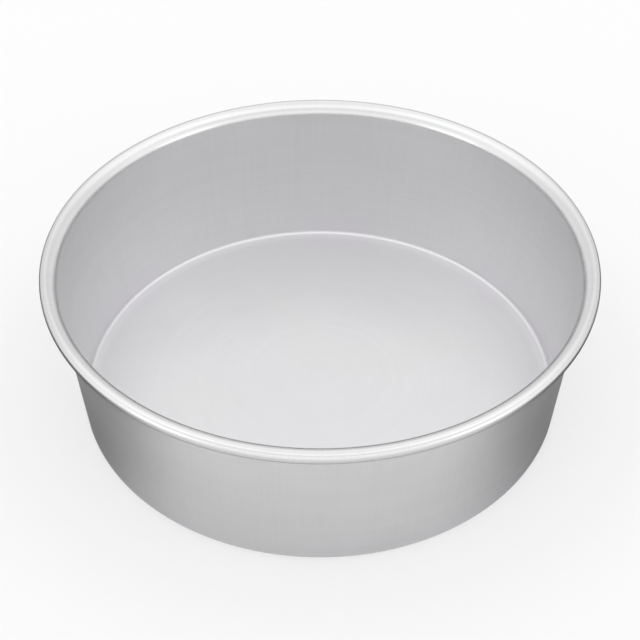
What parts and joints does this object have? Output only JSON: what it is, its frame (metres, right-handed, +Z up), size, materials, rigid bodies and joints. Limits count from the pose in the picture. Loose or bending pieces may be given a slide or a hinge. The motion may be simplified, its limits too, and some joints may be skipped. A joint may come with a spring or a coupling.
{
  "type": "round cake tin",
  "caption": "Deep round cake tin with a flat fixed base, gently tapered wall and rolled rim, drawn in one piece from aluminium sheet.",
  "frame": {"origin": "centre of the flat underside, on the surface that the tin stands on", "axes": "+Z up along the tin's axis of revolution, out through the mouth; +X and +Y are any two directions across the round base, which has no front"},
  "size_m": [0.2436, 0.2436, 0.0762],
  "materials": {
    "anodised_aluminium": "satin anodised, pale silver grey, fine spun grain with no lacquer"
  },
  "bodies": {
    "root": {"cake_tin": "anodised_aluminium"}
  },
  "joints": []
}
